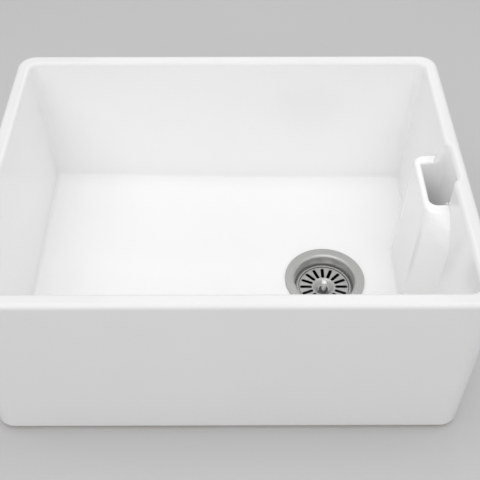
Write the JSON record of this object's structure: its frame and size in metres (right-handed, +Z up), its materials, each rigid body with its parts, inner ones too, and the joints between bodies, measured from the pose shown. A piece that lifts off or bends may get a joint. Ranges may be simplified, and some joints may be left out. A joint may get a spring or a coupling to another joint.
{
  "type": "farmhouse apron front sink",
  "caption": "Rectangular glazed fireclay farmhouse sink with a plain apron front, a weir overflow in the right wall and an off-centre steel basket strainer waste.",
  "frame": {"origin": "centre of the basin's footprint, in the plane of the foot that it stands on; the waste hangs below it", "axes": "+X to the right for someone standing at the apron, +Y from the apron to the wall behind, +Z up"},
  "size_m": [0.595, 0.455, 0.323],
  "materials": {
    "glaze": "gloss white glaze",
    "stainless": "satin",
    "polished": "polished",
    "zinc": "zinc plated",
    "brass": "turned",
    "white_plastic": "moulded",
    "grey_plastic": "moulded",
    "black_rubber": "matt",
    "grey_rubber": "matt"
  },
  "bodies": {
    "sink": {"basin": "glaze", "flange_seal": "grey_rubber", "strainer_body": "stainless", "screw_washer": "zinc", "clamp_screw": "zinc", "threaded_insert": "brass", "base_gasket": "grey_rubber", "lower_body": "white_plastic"},
    "basket": {"basket": "stainless", "stem_bush": "grey_plastic", "bush_nut": "grey_plastic", "stem_o_ring": "black_rubber"},
    "stopper": {"stem": "polished", "knob": "polished", "stopper_disc": "black_rubber", "stopper_washer": "zinc", "backing_washer": "zinc", "stem_nut": "zinc"}
  },
  "joints": [
    {"name": "basket_lift", "type": "slide", "parent": "sink", "child": "basket", "axis": [0, 0, 1], "range_m": [0, 0.12]},
    {"name": "stopper_slide", "type": "slide", "parent": "basket", "child": "stopper", "axis": [0, 0, 1], "range_m": [-0.0075, 0]}
  ]
}
